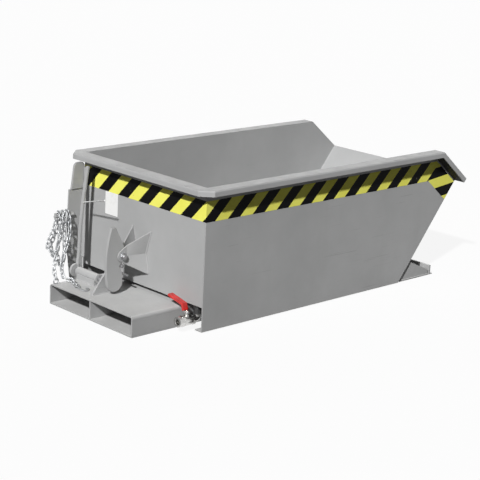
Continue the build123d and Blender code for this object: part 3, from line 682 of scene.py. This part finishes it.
def mirrored(piece):
    twin = bpy.data.objects.new(piece.name + "_twin", piece.data.copy())
    bpy.context.scene.collection.objects.link(twin)
    twin.data.transform(Matrix.Diagonal((1, -1, 1, 1)))
    only(twin)
    bpy.ops.object.mode_set(mode="EDIT")
    bpy.ops.mesh.select_all(action="SELECT")
    bpy.ops.mesh.normals_make_consistent(inside=False)
    bpy.ops.object.mode_set(mode="OBJECT")
    return twin


def addTape(s):
    half = -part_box("side_right")[0].y
    tall = s["high"] - s["low"]
    knee = outlinePoint("knee")
    lip = outlinePoint("lip")
    down = (lip - knee).normalized()
    up = Vector((-down.y, down.x))
    front = (lip - outlinePoint("foot")).normalized()
    outFront = Vector((front.y, -front.x))
    # rear band, drawn from the right corner to the left one and turned to face backwards
    bandLength = 2 * half + 2 * s["thick"]
    rearStretch = s["period"] / s["rearPeriod"]
    rearOffset = (-bandLength * rearStretch, s["low"])
    rearBand = tapeBand(s, (0, s["low"]), bandLength, tall, rearStretch, rearOffset)
    toRear = Matrix.Translation((rearX - s["lift"], half + s["thick"], 0))
    rearBand.data.transform(toRear @ Matrix.Rotation(-math.pi / 2, 4, "Z"))
    toSide = Matrix.Translation((0, -half - s["lift"], 0))
    # side band, which ends under the sloped band
    sideTrims = [
        (knee + down * (s["slopeStart"] + s["overlap"]), down),
        (knee + up * s["slopeHigh"], up),
    ]
    sideBand = tapeBand(
        s,
        (rearX, s["low"]),
        s["sideLength"],
        tall,
        s["period"] / s["sidePeriod"],
        (0.0, s["low"]),
        trims=sideTrims,
    )
    sideBand.data.transform(toSide)
    # sloped band, on top of the side band and trimmed along the front edge
    shiftAlong = s["yellowAt"] - s["slopeYellowAt"] + s["slopeStart"]
    slopeBand = tapeBand(
        s,
        knee + down * s["slopeStart"] + up * s["slopeLow"],
        s["slopeLength"],
        s["slopeHigh"] - s["slopeLow"],
        1.0,
        (shiftAlong, s["slopeLow"]),
        tilt=math.atan2(-down.y, down.x),
        trims=[(lip - outFront * s["frontShort"], outFront)],
        layers=s["slopeLayers"],
    )
    slopeBand.data.transform(toSide)
    bands = [sideBand, slopeBand]
    bands += [mirrored(band) for band in bands]
    tape = joined([rearBand] + bands)
    put(tape, "hazard_tape", "tub", "grey_paint", tapeFinish)


addTape(tapeSettings)
print("hazard tape laid")

# A blank white label on the rear wall, its top at the tape's lower edge
labelSettings = {
    "middle": (0.1965, 0.3985),
    "size": (0.081, 0.095),
    "corner": 0.003,
    "cornerSteps": 3,
    "thick": 0.0006,
    "border": 0.0015,
    "raised": 0.3,
    "lift": 0.00006,
    "white": (0.86, 0.86, 0.85, 1),
    "grey": (0.70, 0.70, 0.68, 1),
    "rough": (0.32, 0.48),
    "relief": (0.06, 0.0005),
    "edge": (0.002, 4),
    "edgeShare": 0.5,
    "haze": (34.0, 5.0, 0.6),
    "waves": (60.0, 2.0),
}


def labelMaterial(name, s):
    material, tree, shader, place = newMaterial(name)
    edge = edges(tree, *s["edge"])[1]
    haze = noise(tree, place, *s["haze"])
    colour = mixed(tree, ranged(tree, haze, 0.5, 0.8, 0.0, 0.5), s["white"], s["grey"])
    colour = mixed(tree, maths(tree, "MULTIPLY", edge, s["edgeShare"]), colour, s["grey"])
    tree.links.new(colour, shader.inputs["Base Color"])
    tree.links.new(ranged(tree, haze, 0.3, 0.7, *s["rough"]), shader.inputs["Roughness"])
    waves = noise(tree, place, *s["waves"])
    tree.links.new(bumped(tree, waves, *s["relief"]), shader.inputs["Normal"])
    return material


def addLabel(s):
    bpy.ops.mesh.primitive_plane_add(size=1.0)
    label = bpy.context.object
    label.data.transform(Matrix.Diagonal((s["size"][0], s["size"][1], 1, 1)))
    bpy.ops.object.mode_set(mode="EDIT")
    bpy.ops.mesh.select_all(action="SELECT")
    bpy.ops.mesh.bevel(offset=s["corner"], segments=s["cornerSteps"], affect="VERTICES")
    bpy.ops.mesh.inset(thickness=s["border"])
    bpy.ops.transform.translate(value=(0, 0, s["thick"] * s["raised"]))
    bpy.ops.object.mode_set(mode="OBJECT")
    shell = label.modifiers.new("film", "SOLIDIFY")
    shell.thickness = s["thick"]
    shell.offset = 1.0
    applyModifiers(label)
    toWall = Matrix(((0, 0, -1, 0), (-1, 0, 0, 0), (0, 1, 0, 0), (0, 0, 0, 1)))
    place = Matrix.Translation((rearX - s["lift"], *s["middle"]))
    label.data.transform(place @ toWall)
    put(label, "blank_label", "tub", "grey_paint", labelMaterial("blank_label_finish", s))


addLabel(labelSettings)
print("label placed")

# Closing strip: the folded rim is shut from below, from its lip in to the wall, and coloured near
# black as painted shade
closingSettings = {
    "sheet": 0.004,
    "chamfer": 0.045,
    "gap": 0.0005,
    # near-black colours: painted shade, the underside of the rim painted as if in shadow
    "colour": (0.040, 0.040, 0.041, 1),
    "pale": (0.055, 0.055, 0.056, 1),
    "dusty": (0.034, 0.034, 0.033, 1),
    "gloss": 0.02,
}


def flatSheet(low, high, height):
    bpy.ops.mesh.primitive_plane_add(size=1.0)
    sheet = bpy.context.object
    size = Matrix.Diagonal((high[0] - low[0], high[1] - low[1], 1, 1))
    sheet.data.transform(Matrix.Translation((*low, height)) @ size @ Matrix.Translation((0.5, 0.5, 0)))
    return sheet


def thicken(sheet, thick):
    shell = sheet.modifiers.new("plate", "SOLIDIFY")
    shell.thickness = thick
    shell.offset = 1.0
    shell.use_even_offset = True
    applyModifiers(sheet)
    return sheet


def addClosing(s):
    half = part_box("side_left")[1].y
    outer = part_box("rim_left")[1].y - s["sheet"] - s["gap"]
    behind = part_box("rim_rear")[0].x + s["sheet"] + s["gap"]
    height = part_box("rim_rear")[0].z
    knee = outlinePoint("knee")
    lip = outlinePoint("lip")
    down = (lip - knee).normalized()
    below = Vector((down.y, -down.x)) * (knee.y - height)
    turn = knee + below + down * ((knee.y + below.y - height) / -down.y)
    end = lip + below
    # side strip, whose front edge is drawn out along the slope
    side = flatSheet((rearX, half + s["gap"]), (turn.x, outer), height)
    bpy.ops.object.mode_set(mode="EDIT")
    bpy.ops.mesh.select_mode(type="EDGE")
    bpy.ops.mesh.select_all(action="DESELECT")
    bpy.ops.object.mode_set(mode="OBJECT")
    for edge in side.data.edges:
        edge.select = all(side.data.vertices[v].co.x > turn.x - s["gap"] for v in edge.vertices)
    bpy.ops.object.mode_set(mode="EDIT")
    bpy.ops.mesh.extrude_region_move(
        TRANSFORM_OT_translate={"value": (end.x - turn.x, 0, end.y - turn.y)}
    )
    bpy.ops.mesh.select_mode(type="VERT")
    bpy.ops.object.mode_set(mode="OBJECT")
    thicken(side, s["sheet"])
    # cut corner between the side and the rear
    corner = flatSheet((behind, half), (rearX, outer), height)
    bpy.ops.object.mode_set(mode="EDIT")
    bpy.ops.mesh.select_all(action="SELECT")
    cut = s["chamfer"] - (s["sheet"] + s["gap"]) * (2 - math.sqrt(2))
    bpy.ops.mesh.bisect(
        plane_co=(behind + cut, outer, height), plane_no=(-1, 1, 0), clear_outer=True, use_fill=False
    )
    bpy.ops.object.mode_set(mode="OBJECT")
    thicken(corner, s["sheet"])
    back = thicken(flatSheet((behind, -half), (rearX - s["gap"], half), height), s["sheet"])
    strips = [back, side, corner, mirrored(side), mirrored(corner)]
    shade = {**paintSettings, **{key: s[key] for key in ("colour", "pale", "dusty", "gloss")}}
    put(joined(strips), "rim_closing", "tub", "grey_paint", greyPaint("rim_closing_painted_shade", shade))


addClosing(closingSettings)
print("rim closed")

# Chain: a round-wire link is made once, and a copy is laid on each link of the CAD chain
chainSettings = {
    "wire": 0.0029,
    "halfWidth": 0.007,
    "halfLength": 0.01275,
    "turns": 16,
    "sides": 8,
    "linkFaces": 96,
    "tolerance": 0.0001,
}


def makeLink(s):
    bpy.ops.mesh.primitive_torus_add(
        major_radius=s["halfWidth"],
        minor_radius=s["wire"],
        major_segments=s["turns"],
        minor_segments=s["sides"],
    )
    link = bpy.context.object
    pull = s["halfLength"] - s["halfWidth"]
    for way in (1, -1):
        bpy.ops.object.mode_set(mode="OBJECT")
        for polygon in link.data.polygons:
            polygon.select = False
        for edge in link.data.edges:
            edge.select = False
        for vertex in link.data.vertices:
            vertex.select = vertex.co.x * way > s["tolerance"]
        bpy.ops.object.mode_set(mode="EDIT")
        bpy.ops.mesh.select_mode(type="VERT")
        bpy.ops.transform.translate(value=(way * pull, 0, 0))
    bpy.ops.object.mode_set(mode="OBJECT")
    return link


def addChain(s):
    link = makeLink(s)
    mesh = nodes["safety_chain"].data
    corners = np.array([v.co[:] for v in mesh.vertices])
    faces = np.array([p.vertices[:] for p in mesh.polygons])
    links = []
    for i in range(0, len(faces), s["linkFaces"]):
        spots = corners[faces[i:i + s["linkFaces"]].reshape(-1)]
        middle = spots.mean(0)
        axes = np.linalg.svd(spots - middle, full_matrices=False)[2]
        long, wide = Vector(axes[0]), Vector(axes[1])
        turn = Matrix((long, wide, long.cross(wide))).transposed().to_4x4()
        copy = bpy.data.objects.new("link", link.data.copy())
        bpy.context.scene.collection.objects.link(copy)
        copy.data.transform(Matrix.Translation(middle) @ turn)
        links.append(copy)
    bpy.data.objects.remove(link)
    chain = joined(links)
    only(chain)
    bpy.ops.object.shade_smooth()
    put(chain, "round_chain", "base", "zinc_steel")
    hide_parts("safety_chain")
    print("chain links", len(links))


addChain(chainSettings)

# Weld beads: one ripple, repeated along each seam
beadSettings = {
    "radius": 0.0030,
    "pitch": 0.0022,
    "narrow": 0.85,
    "flat": 0.9,
    "segments": 8,
    "rings": 5,
}
weldSizes = {
    "bracket_welds": 1.4,
    "tub_welds": 1.4,
    "post_welds": 1.0,
    "base_welds": 1.0,
    "nose_welds": 1.2,
}


def addBead(s, start, end, size):
    way = Vector(end) - Vector(start)
    bpy.ops.mesh.primitive_uv_sphere_add(
        segments=s["segments"], ring_count=s["rings"], radius=s["radius"] * size
    )
    bead = bpy.context.object
    bpy.ops.object.mode_set(mode="EDIT")
    bpy.ops.mesh.select_all(action="SELECT")
    bpy.ops.transform.resize(value=(s["narrow"], 1.0, s["flat"]))
    bpy.ops.object.mode_set(mode="OBJECT")
    ripples = bead.modifiers.new("ripples", "ARRAY")
    ripples.use_relative_offset = False
    ripples.use_constant_offset = True
    ripples.constant_offset_displace = (s["pitch"] * size, 0, 0)
    ripples.count = max(2, int(way.length / (s["pitch"] * size)))
    applyModifiers(bead)
    turn = way.to_track_quat("X", "Z").to_matrix().to_4x4()
    bead.data.transform(Matrix.Translation(start) @ turn)
    return bead


def addWelds(name, body, seams):
    beads = [addBead(beadSettings, start, end, weldSizes[name]) for start, end in seams]
    piece = joined(beads)
    only(piece)
    bpy.ops.object.shade_smooth()
    put(piece, name, body, "grey_paint")


def bothSides(seams):
    return seams + [tuple((x, -y, z) for x, y, z in seam) for seam in seams]


def footSeams(node, height, short):
    low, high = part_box(node)
    return [((low.x + short, y, height), (high.x - short, y, height)) for y in (low.y, high.y)]


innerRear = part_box("rear_wall")[1].x
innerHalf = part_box("side_left")[0].y
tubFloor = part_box("tub_floor")[1].z
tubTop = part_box("side_left")[1].z
frontLow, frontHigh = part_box("front_plate")
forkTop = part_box("fork_top")[1].z
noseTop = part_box("nose_floor")[1].z
crossLow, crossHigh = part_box("nose_front")
saddleLow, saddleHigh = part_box("bearing_saddle")
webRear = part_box("post_web")[0].x
footLow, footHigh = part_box("post_bracket")
flangeLow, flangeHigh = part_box("post_flange")
eyeLow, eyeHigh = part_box("chain_eye")
pegLow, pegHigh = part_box("chain_peg")

# How far beads stand off their seams, and how far they stop short of corners
seamSettings = {
    "lift": 0.0005,
    "wallLift": 0.0004,
    "forkLift": 0.0006,
    "bracket": [(0.0600, 0.337), (0.0325, 0.242), (0.0510, 0.159)],
    "slopeStart": 0.0035,
    "lipShort": 0.006,
    "topShort": 0.004,
    "webShort": 0.004,
    "lugShort": 0.004,
    "crossShort": 0.004,
    "gussetShort": 0.002,
    "pegInset": 0.0015,
    "pegHeight": 0.012,
    "eyeInset": 0.0025,
    "eyeReach": 0.002,
}


def bracketSeams(s):
    points = [(rearX - s["wallLift"], y, z) for y, z in s["bracket"]]
    return bothSides(list(zip(points, points[1:])))


def tubSeams(s):
    low = tubFloor + s["lift"]
    side = innerHalf - s["lift"]
    back = innerRear + s["lift"]
    lipTop = frontHigh.z - s["lipShort"]
    # where the sloped plate's inner face meets the floor and the lip
    slopeLean = (frontHigh.x - frontLow.x) / (frontHigh.z - frontLow.z)
    floorFront = frontLow.x + s["slopeStart"]
    lipFront = floorFront + slopeLean * (lipTop - tubFloor)
    seams = bothSides([
        ((back, side, low), (back, side, tubTop - s["topShort"])),
        ((back, side, low), (floorFront, side, low)),
        ((floorFront, side, low), (lipFront, side, lipTop)),
    ])
    seams.append(((back, -side, low), (back, side, low)))
    seams.append(((floorFront, -side, low), (floorFront, side, low)))
    return seams


def postSeams(s):
    seatZ = footHigh.z + s["lift"]
    pegY, pegZ = pegHigh.y - s["pegInset"], pegLow.z + s["pegHeight"]
    return [
        ((footLow.x, footLow.y, seatZ), (footHigh.x, footLow.y, seatZ)),
        ((footLow.x, footHigh.y, seatZ), (footHigh.x, footHigh.y, seatZ)),
        ((flangeLow.x, flangeHigh.y, flangeLow.z), (flangeLow.x, flangeHigh.y, flangeHigh.z)),
        ((webRear + s["webShort"], pegY, pegZ), (pegHigh.x, pegY, pegZ)),
    ]


def baseSeams(s):
    top = forkTop + s["forkLift"]
    seams = footSeams("catch_lug", top, s["lugShort"])
    for x in (saddleLow.x, saddleHigh.x):
        seams.append(((x, saddleLow.y, top), (x, saddleHigh.y, top)))
    for x in (eyeLow.x + s["eyeInset"], eyeHigh.x - s["eyeInset"]):
        seams.append(((x, eyeLow.y - s["eyeReach"], top), (x, eyeHigh.y + s["eyeReach"], top)))
    return seams


def noseSeams(s):
    floor = noseTop + s["lift"]
    low, high = crossLow.y + s["crossShort"], crossHigh.y - s["crossShort"]
    seams = footSeams("nose_gusset_left", floor, s["gussetShort"])
    seams += footSeams("nose_gusset_right", floor, s["gussetShort"])
    for x in (crossLow.x, crossHigh.x):
        seams.append(((x, low, floor), (x, high, floor)))
    return seams


addWelds("bracket_welds", "tub", bracketSeams(seamSettings))
addWelds("tub_welds", "tub", tubSeams(seamSettings))
addWelds("post_welds", "base", postSeams(seamSettings))
addWelds("base_welds", "base", baseSeams(seamSettings))
addWelds("nose_welds", "base", noseSeams(seamSettings))
print("weld beads laid")

# Washers: a circle, inset, opened, thickened and bevelled; each middle lies a little off its face
washerSettings = {
    "bolt": {"outer": 0.0175, "hole": 0.0082, "thick": 0.0020, "off": 0.0011},
    "shaft": {"outer": 0.0185, "hole": 0.0098, "thick": 0.0018, "off": 0.0010},
    "stem": {"outer": 0.0098, "hole": 0.0046, "thick": 0.0012, "off": 0.0007},
    "sides": 40,
    "edge": 0.22,
    "smoothUnder": 40.0,
}


def flatRing(s, kind):
    outer, hole, thick = kind["outer"], kind["hole"], kind["thick"]
    bpy.ops.mesh.primitive_circle_add(vertices=s["sides"], radius=outer, fill_type="NGON")
    ring = bpy.context.object
    bpy.ops.object.mode_set(mode="EDIT")
    bpy.ops.mesh.select_all(action="SELECT")
    bpy.ops.mesh.inset(thickness=outer - hole)
    bpy.ops.mesh.delete(type="FACE")
    bpy.ops.object.mode_set(mode="OBJECT")
    shell = ring.modifiers.new("plate", "SOLIDIFY")
    shell.thickness = thick
    shell.offset = 0.0
    soft = ring.modifiers.new("edge", "BEVEL")
    soft.width = thick * s["edge"]
    soft.segments = 2
    soft.limit_method = "ANGLE"
    applyModifiers(ring)
    bpy.ops.object.shade_smooth_by_angle(angle=math.radians(s["smoothUnder"]))
    return ring


def facing(axis):
    return Vector(axis).to_track_quat("Z", "X").to_matrix().to_4x4()


def addWasher(name, kind, place, axis, body):
    ring = flatRing(washerSettings, washerSettings[kind])
    ring.data.transform(Matrix.Translation(place) @ facing(axis))
    put(ring, name, body, "zinc_steel")


# The bolt's thread is a three-cornered profile, wound by a screw modifier
threadSettings = {
    "radius": 0.0079,
    "tooth": 0.0008,
    "pitch": 0.0016,
    "turns": 2,
    "steps": 40,
    "inset": 0.0006,
}


def addThread(name, s, place, axis, body):
    bpy.ops.mesh.primitive_circle_add(vertices=3, radius=s["tooth"])
    thread = bpy.context.object
    upright = Matrix.Rotation(math.pi / 2, 4, "X") @ Matrix.Rotation(-math.pi / 2, 4, "Z")
    thread.data.transform(Matrix.Translation((s["radius"], 0, 0)) @ upright)
    wind = thread.modifiers.new("wind", "SCREW")
    wind.axis = "Z"
    wind.screw_offset = s["pitch"]
    wind.iterations = s["turns"]
    wind.steps = s["steps"]
    wind.render_steps = s["steps"]
    applyModifiers(thread)
    thread.data.transform(Matrix.Translation(place) @ facing(axis))
    bpy.ops.object.mode_set(mode="EDIT")
    bpy.ops.mesh.select_all(action="SELECT")
    bpy.ops.mesh.fill_holes(sides=3)
    bpy.ops.mesh.normals_make_consistent(inside=False)
    bpy.ops.object.mode_set(mode="OBJECT")
    put(thread, name, body, "zinc_steel")


def middleOf(node):
    low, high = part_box(node)
    return (low + high) / 2


def addFasteners(s, thread):
    alongY, alongZ = (0, 1, 0), (0, 0, 1)
    bolt, shaft = middleOf("hook_bolt"), middleOf("release_shaft")
    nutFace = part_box("hook_nut")[1].y - s["bolt"]["off"]
    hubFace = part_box("release_lever")[1].y + s["shaft"]["off"]
    stem = (middleOf("valve_gland").x, middleOf("union_nut").y)
    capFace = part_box("handle_nut")[0].z + s["stem"]["off"]
    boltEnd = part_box("hook_bolt")[0].y + thread["inset"]
    addWasher("head_washer", "bolt", (bolt.x, -nutFace, bolt.z), alongY, "tub")
    addWasher("nut_washer", "bolt", (bolt.x, nutFace, bolt.z), alongY, "tub")
    addWasher("shaft_washer", "shaft", (shaft.x, hubFace, shaft.z), alongY, "release_lever")
    addWasher("stem_washer", "stem", (*stem, capFace), alongZ, "drain_handle")
    addThread("bolt_thread", thread, (bolt.x, boltEnd, bolt.z), alongY, "tub")


addFasteners(washerSettings, threadSettings)
print("washers and bolt thread made")

# A thin rod stands out from the lever towards the hook
rodSettings = {
    "start": (rearX - 0.085, 0.276, 0.400),
    "end": (rearX - 0.128, 0.082, 0.453),
    "radius": 0.0024,
    "knob": 0.0036,
    "tip": 0.55,
    "reaches": (0.0012, 0.0035, 0.0016),
    "sides": 14,
    "smoothUnder": 50.0,
}


def addRod(s):
    start, end = Vector(s["start"]), Vector(s["end"])
    way = end - start
    bpy.ops.mesh.primitive_cylinder_add(vertices=s["sides"], radius=s["radius"], depth=way.length)
    rod = bpy.context.object
    rod.data.transform(Matrix.Translation((0, 0, way.length / 2)))
    bpy.ops.object.mode_set(mode="EDIT")
    bpy.ops.mesh.select_mode(type="FACE")
    bpy.ops.mesh.select_all(action="DESELECT")
    bpy.ops.object.mode_set(mode="OBJECT")
    for polygon in rod.data.polygons:
        polygon.select = polygon.normal.z > 0.9  # the end face
    bpy.ops.object.mode_set(mode="EDIT")
    # a knob: out to its radius, straight on, and in to its tip
    for reach, grow in zip(s["reaches"], (s["knob"] / s["radius"], 1.0, s["tip"])):
        bpy.ops.mesh.extrude_region_move(TRANSFORM_OT_translate={"value": (0, 0, reach)})
        bpy.ops.transform.resize(value=(grow, grow, 1.0))
    bpy.ops.object.mode_set(mode="OBJECT")
    bpy.ops.object.shade_smooth_by_angle(angle=math.radians(s["smoothUnder"]))
    rod.data.transform(Matrix.Translation(start) @ facing(way))
    finish = zincSteel("bright_zinc_finish", brightSettings)
    put(rod, "lever_rod", "release_lever", "zinc_steel", finish)


addRod(rodSettings)
print("lever rod made")
